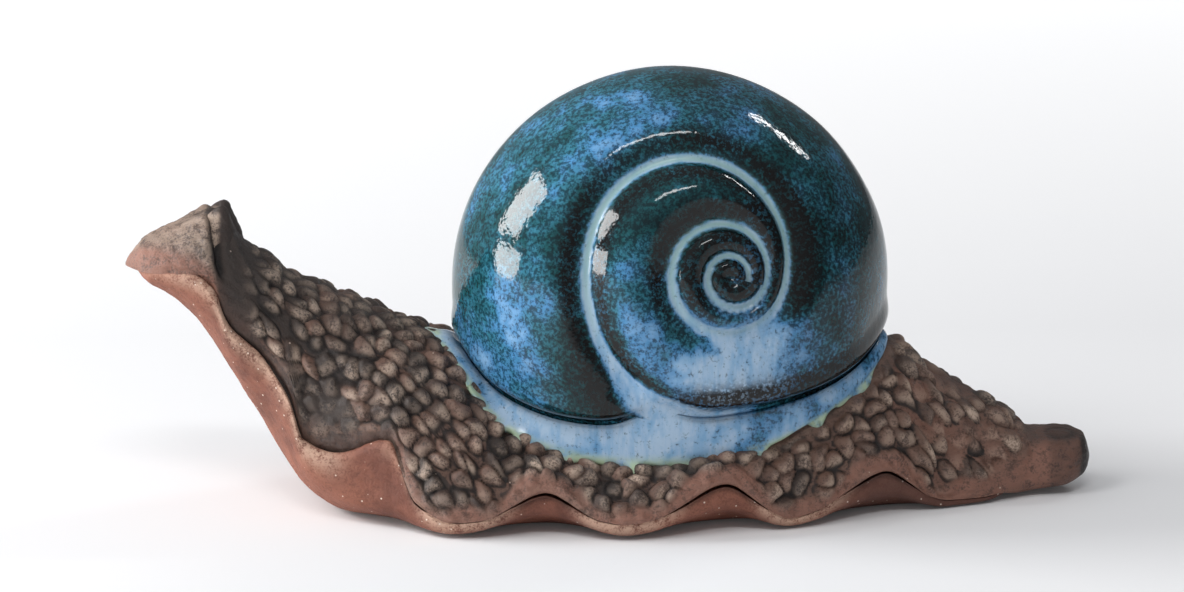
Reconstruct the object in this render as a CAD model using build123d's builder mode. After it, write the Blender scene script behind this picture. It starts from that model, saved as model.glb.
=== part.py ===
"""Hand-built stoneware snail: a smooth foot slab, a pebbled body, a hollow carved shell and its glaze.

The snail faces -X, +Z is up, and the origin is on the table under the middle of its bounding box.
Every piece is one lump, slab or coat that a potter joins with slip or pours on before the firing.
"""

import os
from collections import namedtuple
from math import cos, degrees, radians, sin

from build123d import *

# Foot slab, in millimetres: the rolled slab that the snail stands on
foot_thickness = 7.0
foot_lip = 5.0  # width of the frilled lip around the flat sole

# Body seams
head_seam_x = -81.0
neck_seam_x = -36.0
tail_seam_x = 60.0
tip_seam_x = 87.0
mouth_z = 48.0  # mouth line at the snout
jaw_z = 41.0  # mouth line at the back of the head
throat_root_x = -54.0  # where the throat slab's back face lands on the foot slab

# Shell
shell_x = 11.8
shell_radius = 45.0
shell_half_width = 33.0
shell_flat = 6.8  # height trimmed off the underside so that the shell stands on the foot slab
shell_wall = 6.0
vent_diameter = 6.0
glaze_thickness = 0.8
fringe_width = 3.2  # how far the pooled glaze stands out from the shell and the body

# Carved spiral groove: its centre on the shell, and the distances from that centre at which the
# groove crosses its axis line, on one side and the other in turn, from the outer turn inwards
spiral_dx = 9.9
spiral_dz = 8.5
spiral_axis_angle = 162.6
groove_crossings = (28.6, 11.3, 11.7, 7.6, 4.2, 3.8)
groove_lead_radius = 30.7
groove_lead_angle = 84.0
groove_width = 2.6
groove_depth = 2.2

# Horns
horn_x = -80.0
horn_spread = 6.0  # half the distance between the two horns' feet
horn_root_z = 53.0
horn_length = 9.0
horn_root_radius = 4.5
horn_tip_radius = 1.4
horn_tip_flat = 0.3  # radius of the flat left on the tip between its rounded edges
horn_lean_back = 6.0
horn_lean_out = 10.0

# How far the body's flanks tuck in from the shell's widest part, so that it holds the shell all round
shoulder_tuck = 6.5
shell_front_tuck = 4.0
front_flank_tuck = 3.0
middle_flank_tuck = 2.0
rear_flank_tuck = 4.0
hip_tuck = 9.0

# How far the frilled foot stands out from the flank above it
front_lobe_overhang = 3.5
first_arch_overhang = 2.5
middle_lobe_overhang = 4.0
second_arch_overhang = 3.0
rear_lobe_overhang = 4.5

# Upright ovals of the body from snout to tail: place, half width, underside and top
Oval = namedtuple("Oval", "x half_width low high")
snout = Oval(-100.0, 3.5, 48.6, 53.0)
lip = Oval(-96.0, 8.5, 47.0, 56.0)
cheek = Oval(-90.0, 11.5, 43.8, 59.0)
crown = Oval(-83.0, 13.0, 35.8, 61.0)
nape = Oval(-75.0, 14.0, 22.0, 54.4)
upper_neck = Oval(-66.0, 17.5, 6.8, 47.6)
lower_neck = Oval(-56.0, 22.0, -2.0, 43.2)
shoulder = Oval(-45.0, shell_half_width - shoulder_tuck, -5.0, 38.3)
shell_front = Oval(-34.0, shell_half_width - shell_front_tuck, -9.0, 33.5)
front_flank = Oval(-22.0, shell_half_width - front_flank_tuck, -11.0, 23.5)
middle_flank = Oval(-4.0, shell_half_width - middle_flank_tuck, -6.0, 18.5)
rear_flank = Oval(20.0, shell_half_width - rear_flank_tuck, -9.0, 22.5)
hip = Oval(40.0, shell_half_width - hip_tuck, -14.0, 31.5)
shell_back = Oval(57.0, 17.5, -12.0, 33.0)
upper_tail = Oval(68.0, 13.5, -6.0, 25.5)
lower_tail = Oval(80.0, 10.0, -2.5, 19.0)
tail_pinch = Oval(88.0, 7.5, 0.4, 13.4)
tail_pad = Oval(94.0, 7.2, 0.8, 13.8)
tail_round = Oval(98.5, 5.2, 2.8, 12.4)
tail_end = Oval(100.0, 2.4, 5.8, 9.6)
ovals = (
    snout, lip, cheek, crown, nape, upper_neck, lower_neck, shoulder, shell_front, front_flank,
    middle_flank, rear_flank, hip, shell_back, upper_tail, lower_tail, tail_pinch, tail_pad,
    tail_round, tail_end,
)

# Frilled lip of the foot slab: lobes press on the table, arches lift off it
Frill = namedtuple("Frill", "x half_width bottom top")
bow = Frill(-64.5, 0.0, 6.0, 10.0)
bow_side = Frill(-58.0, 15.5, 4.0, 12.0)
front_arch = Frill(-49.0, 24.5, 3.0, 12.5)
front_lobe = Frill(-33.0, shell_front.half_width + front_lobe_overhang, -0.5, 4.5)
first_arch = Frill(-15.0, front_flank.half_width + first_arch_overhang, 3.0, 11.0)
middle_lobe = Frill(1.0, middle_flank.half_width + middle_lobe_overhang, -0.5, 4.5)
second_arch = Frill(20.5, rear_flank.half_width + second_arch_overhang, 3.0, 11.5)
rear_lobe = Frill(36.5, hip.half_width + rear_lobe_overhang, -0.5, 4.5)
third_arch = Frill(55.0, 21.0, 3.0, 11.0)
tail_lobe = Frill(69.0, 15.0, -0.5, 5.0)
stern = Frill(tip_seam_x, 10.0, 1.5, 8.0)
frills = (
    bow, bow_side, front_arch, front_lobe, first_arch, middle_lobe, second_arch, rear_lobe,
    third_arch, tail_lobe, stern,
)

# Sizes that follow from the ones above
length = tail_end.x - snout.x
shell_z = foot_thickness + shell_radius - shell_flat
shell_plane = Plane(origin=(shell_x, 0, shell_z), x_dir=(1, 0, 0), z_dir=(0, -1, 0))
board_plane = Plane.XY.offset(foot_thickness)  # top of the foot slab, where the body pieces stand


def body_form(growth=0.0):
    """The whole body as one smooth loft through its ovals, grown outwards by growth."""
    with BuildPart() as form:
        for oval in ovals:
            with BuildSketch(Plane.YZ.offset(oval.x)):
                with Locations((0, (oval.low + oval.high) / 2)):
                    Ellipse(oval.half_width + growth, (oval.high - oval.low) / 2 + growth)
        loft()
    return form.part


def shell_ball(inset=0.0):
    """The shell's flattened ball with its surface inset evenly, trimmed to stand on the foot slab."""
    radius = shell_radius - inset
    with BuildPart() as ball:
        Sphere(radius)
        scale(by=(1, (shell_half_width - inset) / radius, 1))
        split(bisect_by=Plane.XY.offset(foot_thickness - shell_z), keep=Keep.TOP)
    return Pos(shell_x, 0, shell_z) * ball.part


def groove_ribbon(width, shortening):
    """The spiral as a flat ribbon seen from the side, made of half turns that meet on one line.

    Both ends stop short of the full groove by shortening, so that a narrower ribbon keeps its walls.
    """
    axis_x, axis_z = cos(radians(spiral_axis_angle)), sin(radians(spiral_axis_angle))
    half_turns = list(zip(groove_crossings, groove_crossings[1:]))
    with BuildSketch(shell_plane) as ribbon:
        with BuildLine():
            lead_offset = groove_crossings[0] - groove_lead_radius
            lead_centre = (spiral_dx + lead_offset * axis_x, spiral_dz + lead_offset * axis_z)
            lead_sweep = groove_lead_angle - degrees(shortening / groove_lead_radius)
            CenterArc(lead_centre, groove_lead_radius, spiral_axis_angle, lead_sweep)
            for number, (outer, inner) in enumerate(half_turns):
                side = 1 if number % 2 == 0 else -1
                offset_along_axis = side * (outer - inner) / 2
                centre = (
                    spiral_dx + offset_along_axis * axis_x,
                    spiral_dz + offset_along_axis * axis_z,
                )
                radius = (outer + inner) / 2
                is_last = number == len(half_turns) - 1
                sweep = 180 - (degrees(shortening / radius) if is_last else 0)
                start_angle = spiral_axis_angle + (0 if side > 0 else 180)
                CenterArc(centre, radius, start_angle, -sweep)
        trace(line_width=width)
    return ribbon.sketch


def groove_cut(inset, cover, depth):
    """What the carving tool sweeps out of a ball of that inset, less the glaze that covers its walls."""
    with BuildPart() as cut:
        extrude(groove_ribbon(groove_width - 2 * cover, cover), amount=shell_half_width, both=True)
        add(shell_ball(inset + depth), mode=Mode.SUBTRACT)
    return cut.part


def side_region(*corners):
    """A block across the whole snail whose side view has these corners, given as (x, z)."""
    with BuildPart() as region:
        with BuildSketch(Plane.XZ):
            with BuildLine():
                Polyline(*corners, close=True)
            make_face()
        extrude(amount=length, both=True)
    return region.part


# Forms that several pieces share
body = body_form()
raw_shell = shell_ball(glaze_thickness)
glazed_shell = shell_ball()
raw_groove = groove_cut(glaze_thickness, 0.0, groove_depth)
glaze_groove = groove_cut(0.0, glaze_thickness, groove_depth)

far_front, far_back = 2 * snout.x, 2 * tail_end.x
sky = 2 * (shell_z + shell_radius)
throat_region = side_region(
    (far_front, foot_thickness),
    (throat_root_x, foot_thickness),
    (head_seam_x, jaw_z),
    (snout.x, mouth_z),
    (far_front, mouth_z),
)


def body_slice(front_x, back_x):
    """The upright slice of the body that stands on the foot slab between two seams."""
    with BuildPart() as piece:
        add(body)
        add(
            side_region((front_x, foot_thickness), (back_x, foot_thickness), (back_x, sky), (front_x, sky)),
            mode=Mode.INTERSECT,
        )
    return piece.part


def foot_plan(inset):
    """Outline of the foot slab seen from above, drawn in from its frilled edge by inset."""
    near = [(frill.x, inset - frill.half_width) for frill in reversed(frills[1:])]
    far = [(x, -y) for x, y in reversed(near)]
    with BuildSketch() as plan:
        with BuildLine():
            Spline(*near, (bow.x + inset, 0), *far)
            Line(far[-1], near[0])
        make_face()
    return plan.sketch


# Foot slab: flat sole with the vent under the shell, and the frilled lip around it
with BuildPart() as foot_slab:
    with BuildSketch(Plane.XZ):
        with BuildLine():
            top_edge = Spline(*[(frill.x, frill.top) for frill in frills])
            bottom_edge = Spline(*[(frill.x, frill.bottom) for frill in frills])
            Line(top_edge @ 0, bottom_edge @ 0)
            Line(top_edge @ 1, bottom_edge @ 1)
        make_face()
    extrude(amount=length, both=True)
    extrude(foot_plan(0.0), amount=sky, mode=Mode.INTERSECT)
    extrude(foot_plan(foot_lip), amount=foot_thickness)
    add(body_slice(far_front, far_back), mode=Mode.SUBTRACT)
    with Locations((shell_x, 0, foot_thickness)):
        Hole(vent_diameter / 2)
foot_slab.part.label = "foot_slab"

# Throat slab: the smooth front of the neck, from the foot slab up to the lower lip
with BuildPart() as throat_slab:
    add(body)
    add(throat_region, mode=Mode.INTERSECT)
throat_slab.part.label = "throat_slab"

# Head: the smooth cap above the mouth line
with BuildPart() as head:
    add(body_slice(far_front, head_seam_x))
    add(throat_region, mode=Mode.SUBTRACT)
head.part.label = "head"

# Neck: the pebbled roll between the head and the shell
with BuildPart() as neck:
    add(body_slice(head_seam_x, neck_seam_x))
    add(throat_region, mode=Mode.SUBTRACT)
    add(raw_shell, mode=Mode.SUBTRACT)
neck.part.label = "neck"

# Cradle: the pebbled ring that the shell is pressed into
with BuildPart() as cradle:
    add(body_slice(neck_seam_x, tail_seam_x))
    add(raw_shell, mode=Mode.SUBTRACT)
cradle.part.label = "cradle"

# Tail: the pebbled cone behind the shell
with BuildPart() as tail:
    add(body_slice(tail_seam_x, tip_seam_x))
    add(raw_shell, mode=Mode.SUBTRACT)
tail.part.label = "tail"

# Tail tip: the smooth thumb-pressed end
with BuildPart() as tail_tip:
    add(body)
    split(bisect_by=Plane.YZ.offset(tip_seam_x), keep=Keep.TOP)
    split(bisect_by=Plane.XY, keep=Keep.TOP)
tail_tip.part.label = "tail_tip"


def horn(side):
    """One pinched horn on the head, on the -Y side for -1 and the +Y side for 1."""
    out = side * sin(radians(horn_lean_out))
    back = sin(radians(horn_lean_back))
    root = Plane(origin=(horn_x, side * horn_spread, horn_root_z), z_dir=(back, out, 1))
    with BuildPart() as piece:
        with Locations(root):
            Cone(
                horn_root_radius,
                horn_tip_radius,
                horn_length,
                align=(Align.CENTER, Align.CENTER, Align.MIN),
            )
        fillet(piece.faces().sort_by(Axis.Z)[-1].edges(), horn_tip_radius - horn_tip_flat)
        add(body, mode=Mode.SUBTRACT)
    return piece.part


left_horn = horn(-1)
left_horn.label = "left_horn"
right_horn = horn(1)
right_horn.label = "right_horn"


# Shell as the potter carves it, before it is hollowed and glazed
with BuildPart() as carved_shell:
    add(raw_shell)
    add(raw_groove, mode=Mode.SUBTRACT)

# Hollow inside the shell, with a floor as thick as the wall
with BuildPart() as hollow:
    add(shell_ball(glaze_thickness + shell_wall))
    split(bisect_by=board_plane.offset(shell_wall), keep=Keep.TOP)


def shell_half(keep):
    """One pinched half of the hollow shell, carved outside, with its half of the vent."""
    with BuildPart() as half:
        add(carved_shell.part)
        add(hollow.part, mode=Mode.SUBTRACT)
        with Locations((shell_x, 0, foot_thickness)):
            Cylinder(vent_diameter / 2, 4 * shell_wall, mode=Mode.SUBTRACT)
        split(bisect_by=Plane.XZ, keep=keep)
    return half.part


shell_left_half = shell_half(Keep.TOP)
shell_left_half.label = "shell_left_half"
shell_right_half = shell_half(Keep.BOTTOM)
shell_right_half.label = "shell_right_half"

# Shell glaze: the even glass coat over the shell where it stands clear of the body
with BuildPart() as shell_glaze:
    add(glazed_shell)
    add(glaze_groove, mode=Mode.SUBTRACT)
    add(carved_shell.part, mode=Mode.SUBTRACT)
    add(body, mode=Mode.SUBTRACT)
shell_glaze.part.label = "shell_glaze"

# Glaze fringe: the glaze that ran down and pooled where the shell meets the body
with BuildPart() as glaze_fringe:
    add(body_form(fringe_width))
    add(shell_ball(-fringe_width), mode=Mode.INTERSECT)
    add(body, mode=Mode.SUBTRACT)
    add(glazed_shell, mode=Mode.SUBTRACT)
    add(foot_slab.part, mode=Mode.SUBTRACT)
glaze_fringe.part.label = "glaze_fringe"

pieces = (
    foot_slab.part, throat_slab.part, head.part, neck.part, cradle.part, tail.part, tail_tip.part,
    left_horn, right_horn, shell_left_half, shell_right_half, shell_glaze.part, glaze_fringe.part,
)
os.makedirs("parts", exist_ok=True)
for piece in pieces:
    export_step(piece, f"parts/{piece.label}.step")
    print(piece.label, "solids", len(piece.solids()), "volume", round(piece.volume))
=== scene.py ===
# %% [markdown]
# # A hand-built stoneware snail
# The real ornament is a handful of clay lumps and slabs: a smooth red slab for the foot and the
# throat, a skin stamped all over with pebbles, a hollow ball for the shell, and a glaze that ran down
# the shell and pooled around it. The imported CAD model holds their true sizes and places. Here each
# piece gets the surface that fingers, tools and the kiln leave, in the same frame.

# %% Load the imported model
import math

import bmesh
import bpy
import numpy as np
from mathutils import Matrix, Quaternion, Vector
from mathutils.kdtree import KDTree


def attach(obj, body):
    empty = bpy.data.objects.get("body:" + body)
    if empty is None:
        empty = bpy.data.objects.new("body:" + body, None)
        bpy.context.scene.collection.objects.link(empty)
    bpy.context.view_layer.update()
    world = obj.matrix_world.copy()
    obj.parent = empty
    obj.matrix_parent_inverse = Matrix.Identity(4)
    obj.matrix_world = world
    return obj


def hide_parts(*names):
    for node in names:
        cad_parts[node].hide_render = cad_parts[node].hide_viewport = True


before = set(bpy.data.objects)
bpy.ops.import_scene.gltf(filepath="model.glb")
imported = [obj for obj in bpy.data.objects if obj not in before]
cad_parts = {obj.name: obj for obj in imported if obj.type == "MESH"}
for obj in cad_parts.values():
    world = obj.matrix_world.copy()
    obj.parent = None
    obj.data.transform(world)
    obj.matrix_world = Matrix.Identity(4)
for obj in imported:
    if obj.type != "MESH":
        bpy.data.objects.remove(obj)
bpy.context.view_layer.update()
MM = 0.001  # sizes below are in millimetres, Blender's are in metres
print("CAD nodes:", ", ".join(sorted(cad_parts)))

# %% [markdown]
# ## Camera
# The photograph was taken from a little above the table with a long lens, almost square to the side.
# A camera could be placed by eye, but a viewing angle, a distance and a point to aim at are easier to
# read and to correct, so the camera is worked out from those.

# %% Camera at the photograph's viewing angle
VIEW_AZIMUTH, VIEW_ELEVATION = math.radians(-2.5), math.radians(13.5)
VIEW_DISTANCE = 800 * MM
AIM_HEIGHT, AIM_LEFT, AIM_DOWN = 45 * MM, 4.3 * MM, 2.5 * MM
LENS, SENSOR_WIDTH = 117.8, 36
backwards = Vector((
    math.sin(VIEW_AZIMUTH) * math.cos(VIEW_ELEVATION),
    -math.cos(VIEW_AZIMUTH) * math.cos(VIEW_ELEVATION),
    math.sin(VIEW_ELEVATION),
))
rightwards = Vector((math.cos(VIEW_AZIMUTH), math.sin(VIEW_AZIMUTH), 0))
upwards = backwards.cross(rightwards)
aim_point = Vector((0, 0, AIM_HEIGHT)) - AIM_LEFT * rightwards - AIM_DOWN * upwards

camera_data = bpy.data.cameras.new("camera")
camera_data.lens = LENS
camera_data.sensor_width = SENSOR_WIDTH
camera = bpy.data.objects.new("camera", camera_data)
camera.location = aim_point + VIEW_DISTANCE * backwards
camera.rotation_euler = (-backwards).to_track_quat("-Z", "Y").to_euler()
bpy.context.scene.collection.objects.link(camera)
bpy.context.scene.camera = camera
bpy.context.scene.view_settings.view_transform = "Standard"
print("camera stands at", tuple(round(value, 3) for value in camera.location))

# %% [markdown]
# ## Node helpers
# A material is a small graph of nodes. It could be wired one socket at a time, but a few short
# functions that add a node and wire it at once keep the materials below readable as sentences.

# %% Node helpers
def srgb(red, green, blue):
    """A colour given as on a screen, 0 to 255, in the linear values that the shaders use."""
    parts = [value / 255 for value in (red, green, blue)]
    return tuple(p / 12.92 if p <= 0.04045 else ((p + 0.055) / 1.055) ** 2.4 for p in parts) + (1.0,)


def new_material(name):
    """A node material; gives the material, its node tree and its main shader."""
    material = bpy.data.materials.new(name)
    material.use_nodes = True
    tree = material.node_tree
    return material, tree, tree.nodes["Principled BSDF"]


def wire(tree, socket, value):
    """Link an output to this input, or set the input's own value."""
    if isinstance(value, bpy.types.NodeSocket):
        tree.links.new(value, socket)
    else:
        socket.default_value = value


def add_node(tree, kind, **values):
    """Add a node; each value is put in the input of that name, as a link if it is a socket."""
    made = tree.nodes.new(kind)
    for name, value in values.items():
        wire(tree, made.inputs[name.replace("_", " ")], value)
    return made


def calculate(tree, operation, first, second):
    """One sum on two values, such as MULTIPLY or LESS_THAN, held between 0 and 1."""
    made = tree.nodes.new("ShaderNodeMath")
    made.operation = operation
    made.use_clamp = True
    wire(tree, made.inputs[0], first)
    wire(tree, made.inputs[1], second)
    return made.outputs[0]


def remap(tree, value, low, high, to_low=0.0, to_high=1.0, ends="SMOOTHSTEP"):
    """Stretch the range low to high over to_low to to_high, with soft ends or LINEAR ones."""
    made = add_node(
        tree, "ShaderNodeMapRange",
        Value=value, From_Min=low, From_Max=high, To_Min=to_low, To_Max=to_high,
    )
    made.interpolation_type = ends
    return made.outputs["Result"]


def own_place(tree):
    """The place of each point in its object's own coordinates."""
    return tree.nodes.new("ShaderNodeTexCoord").outputs["Object"]


print("node helpers are ready")

# %% [markdown]
# ## Table and light
# Gloss is only as good as what it mirrors. A broad lamp in the upper left front lights the clay, and
# the gloss is kept from mirroring it. Two window panes on the left give the shell the pale shapes that
# a glaze shows in a room, a narrow lamp on the upper right draws one crisp streak, and a strip
# overhead in front lights the crests of the turns. The white table keeps the shadow beside the snail
# and fades to the white of the backdrop behind it.

# %% Table
TABLE_HALF = 4  # metres
FADE_START, FADE_END = 0.14, 0.75  # metres behind the snail
FADE_LEAST, FADE_MOST = 0.02, 0.5  # white that is added, for the camera only


def new_object(name, shape):
    """Turn a finished bmesh into an object at the origin."""
    mesh = bpy.data.meshes.new(name)
    shape.to_mesh(mesh)
    shape.free()
    piece = bpy.data.objects.new(name, mesh)
    bpy.context.scene.collection.objects.link(piece)
    return piece


table_shape = bmesh.new()
bmesh.ops.create_grid(table_shape, x_segments=1, y_segments=1, size=TABLE_HALF)
table = new_object("table", table_shape)
table_material, tree, shader = new_material("white_table")
shader.inputs["Base Color"].default_value = srgb(240, 240, 241)
shader.inputs["Roughness"].default_value = 0.8
shader.inputs["Specular IOR Level"].default_value = 0.1
shader.inputs["Emission Color"].default_value = (1, 1, 1, 1)
table_place = add_node(tree, "ShaderNodeSeparateXYZ", Vector=own_place(tree))
fade = remap(
    tree, table_place.outputs["Y"], FADE_START, FADE_END, FADE_LEAST, FADE_MOST, ends="LINEAR",
)
seen_by_camera = tree.nodes.new("ShaderNodeLightPath").outputs["Is Camera Ray"]
wire(tree, shader.inputs["Emission Strength"], calculate(tree, "MULTIPLY", fade, seen_by_camera))
table.data.materials.append(table_material)
print("table is", round(table.dimensions.x, 1), "m wide")

# %% Room light, bright by the window and dim across from it
WINDOW_DIRECTION = (-0.9, -0.2, 0.4)
FACING_AWAY, FACING_WINDOW = -0.7, 0.9
ROOM_DIM, ROOM_BRIGHT = 0.12, 0.5

world = bpy.data.worlds.new("room")
bpy.context.scene.world = world
world.use_nodes = True
tree = world.node_tree
background = tree.nodes["Background"]
background.inputs["Color"].default_value = srgb(244, 246, 250)
towards_window = tree.nodes.new("ShaderNodeVectorMath")
towards_window.operation = "DOT_PRODUCT"
wire(tree, towards_window.inputs[0], tree.nodes.new("ShaderNodeTexCoord").outputs["Generated"])
wire(tree, towards_window.inputs[1], WINDOW_DIRECTION)
room_level = remap(
    tree, towards_window.outputs["Value"],
    FACING_AWAY, FACING_WINDOW, ROOM_DIM, ROOM_BRIGHT, ends="LINEAR",
)
wire(tree, background.inputs["Strength"], room_level)
print("room light goes from", ROOM_DIM, "to", ROOM_BRIGHT)

# %% Lamps
LAMP_TARGET = Vector((0.01, 0, 0.04))
LAMPS = (  # name, place, width, height, watts, roll in degrees, mirrored by gloss
    ("skylight", (-0.80, -0.48, 0.95), 0.6, 0.6, 5.4, 0, False),
    ("upper_window", (-0.98, 0.12, 0.52), 0.42, 0.40, 7.5, 0, True),
    ("lower_window", (-1.0, -0.02, 0.11), 0.45, 0.24, 4.5, 0, True),
    ("right_lamp", (0.66, 0.47, 0.76), 0.38, 0.04, 1.2, 40, True),
    ("ceiling_strip", (-0.05, -0.85, 1.05), 0.5, 0.12, 3.2, 0, True),
)
for name, place, width, height, watts, roll, mirrored in LAMPS:
    lamp_data = bpy.data.lights.new(name, "AREA")
    lamp_data.shape = "RECTANGLE"
    lamp_data.size, lamp_data.size_y = width, height
    lamp_data.energy = watts
    lamp = bpy.data.objects.new(name, lamp_data)
    lamp.location = place
    facing = (LAMP_TARGET - lamp.location).to_track_quat("-Z", "Y")
    lamp.rotation_euler = (facing @ Quaternion((0, 0, 1), math.radians(roll))).to_euler()
    lamp.visible_glossy = mirrored
    bpy.context.scene.collection.objects.link(lamp)
print("lamps:", len(LAMPS))

# %% [markdown]
# ## Effects that several finishes share
# Fired clay shows the same things all over: a fine grain, blotches from the kiln, and pale specks of
# grog, the crushed fired clay that a potter mixes in. A glaze shows cloudy colour with fine dark
# specks where it broke in the melt. Each of the two effects is a node group, built once and used by
# every clay or every glaze with its own colours.

# %% Node groups for clay and for glaze
FINE_GRAIN, COARSE_GRAIN, KILN_BLOTCH, GROG_STEP = 0.45, 2.2, 14, 1.7


def cloud(tree, place, grain, detail=3.0, roughness=0.55):
    """Soft noise whose blotches are about grain millimetres across."""
    made = add_node(
        tree, "ShaderNodeTexNoise",
        Vector=place, Scale=1 / (grain * MM), Detail=detail, Roughness=roughness,
    )
    return made.outputs["Fac"]


def new_group(name, inputs, outputs):
    """An empty node group with named value sockets; gives the group, its input and its output node."""
    group = bpy.data.node_groups.new(name, "ShaderNodeTree")
    for socket in inputs:
        group.interface.new_socket(socket, in_out="INPUT", socket_type="NodeSocketFloat")
    for socket in outputs:
        group.interface.new_socket(socket, in_out="OUTPUT", socket_type="NodeSocketFloat")
    return group, group.nodes.new("NodeGroupInput"), group.nodes.new("NodeGroupOutput")


def fired_clay_group():
    """Grain for a bump, kiln blotches and grog specks; Grog Share sets how many specks show."""
    group, given, result = new_group("fired_clay", ["Grog Share"], ["Grain", "Blotch", "Grog"])
    place = own_place(group)
    fine = cloud(group, place, FINE_GRAIN, detail=4.0, roughness=0.7)
    coarse = cloud(group, place, COARSE_GRAIN, detail=2.0)
    grain = calculate(group, "ADD", calculate(group, "MULTIPLY", fine, 0.6),
                      calculate(group, "MULTIPLY", coarse, 0.4))
    cells = add_node(group, "ShaderNodeTexVoronoi", Vector=place, Scale=1 / (GROG_STEP * MM))
    chosen = calculate(group, "LESS_THAN", cells.outputs["Color"], given.outputs["Grog Share"])
    speck = remap(group, cells.outputs["Distance"], 0.14, 0.08)
    wire(group, result.inputs["Grain"], grain)
    wire(group, result.inputs["Blotch"], cloud(group, place, KILN_BLOTCH, detail=4.0, roughness=0.6))
    wire(group, result.inputs["Grog"], calculate(group, "MULTIPLY", chosen, speck))
    return group


def broken_glaze_group():
    """Clouds of colour, smaller drifts, streaks that run down, and fine specks, as a glaze breaks."""
    group, _, result = new_group("broken_glaze", [], ["Cloud", "Drift", "Streak", "Speck"])
    place = own_place(group)
    drawn_down = add_node(group, "ShaderNodeMapping", Vector=place, Scale=(1.0, 1.0, 0.2))
    noises = (  # output, place, grain, detail, roughness
        ("Cloud", place, 13, 3.0, 0.6),
        ("Drift", place, 4.2, 3.0, 0.65),
        ("Streak", drawn_down.outputs["Vector"], 2.4, 3.0, 0.6),
        ("Speck", place, 0.8, 4.0, 0.7),
    )
    for output, *noise in noises:
        wire(group, result.inputs[output], cloud(group, *noise))
    return group


fired_clay = fired_clay_group()
broken_glaze = broken_glaze_group()
print("node groups:", fired_clay.name, "and", broken_glaze.name)

# %% [markdown]
# ## Clay finishes
# The bare clay is a warm red with white grog. The body was brushed with a dark oxide wash and wiped,
# so the wash stays in the hollows and the tops of the pebbles are worn back to tan. Painted shade
# darkens the hollows and creases further, and painted highlights lighten the worn tops and edges. The
# hollows and tops are stored on the vertices when the pebbles are made, and the material reads them. One
# mixed colour would look flat, so each finish is a first colour with coats laid over it, as on the pot.

# %% Helpers for finishes
def use_group(tree, group, **values):
    """Place a node group in a material; gives its outputs."""
    made = tree.nodes.new("ShaderNodeGroup")
    made.node_tree = group
    for name, value in values.items():
        wire(tree, made.inputs[name.replace("_", " ")], value)
    return made.outputs


def painted(tree, name):
    """A value that was stored on the vertices under this name."""
    made = tree.nodes.new("ShaderNodeAttribute")
    made.attribute_name = name
    return made.outputs["Fac"]


def coated(tree, colour, *coats):
    """A colour under coats, each given by its share from 0 to 1 and its own colour."""
    for share, coat in coats:
        made = tree.nodes.new("ShaderNodeMix")
        made.data_type = "RGBA"
        wire(tree, made.inputs["Factor"], share)
        wire(tree, made.inputs[6], colour)
        wire(tree, made.inputs[7], coat)
        colour = made.outputs[2]
    return colour


def dress(tree, shader, colour, roughness, specular, height, depth, strength):
    """Wire a finish to its shader; the height raises the shading by up to depth millimetres."""
    wire(tree, shader.inputs["Base Color"], colour)
    wire(tree, shader.inputs["Roughness"], roughness)
    wire(tree, shader.inputs["Specular IOR Level"], specular)
    bump = add_node(tree, "ShaderNodeBump", Height=height, Distance=depth * MM, Strength=strength)
    wire(tree, shader.inputs["Normal"], bump.outputs["Normal"])


print("finish helpers are ready")

# %% Clay materials
def smooth_clay_material():
    """Bare red stoneware: the foot, the throat and the shell under its glaze."""
    material, tree, shader = new_material("smooth_red_clay")
    clay = use_group(tree, fired_clay, Grog_Share=0.5)
    blotch, grain = clay["Blotch"], clay["Grain"]
    rubbed = calculate(tree, "MULTIPLY", painted(tree, "wear"), remap(tree, grain, 0.36, 0.56))
    colour = coated(
        tree, srgb(112, 67, 53),
        (remap(tree, blotch, 0.32, 0.66), srgb(154, 100, 81)),
        # painted shade: the slab is darker towards the tail
        (remap(tree, painted(tree, "wash"), 0.0, 1.0, 0.0, 0.85), srgb(96, 66, 57)),
        (remap(tree, grain, 0.56, 0.34, 0.0, 0.5), srgb(84, 48, 38)),
        # painted shade in the crease over each arch
        (remap(tree, painted(tree, "crease"), 0.0, 1.0, 0.0, 0.7), srgb(50, 32, 26)),
        # pale edges of the slab's lip and lobes: wear and a painted highlight
        (rubbed, srgb(206, 172, 150)),
        (clay["Grog"], srgb(222, 205, 190)),
    )
    roughness = remap(tree, blotch, 0.3, 0.7, 0.58, 0.76)
    dress(tree, shader, colour, roughness, specular=0.4, height=grain, depth=0.5, strength=0.7)
    return material


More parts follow.
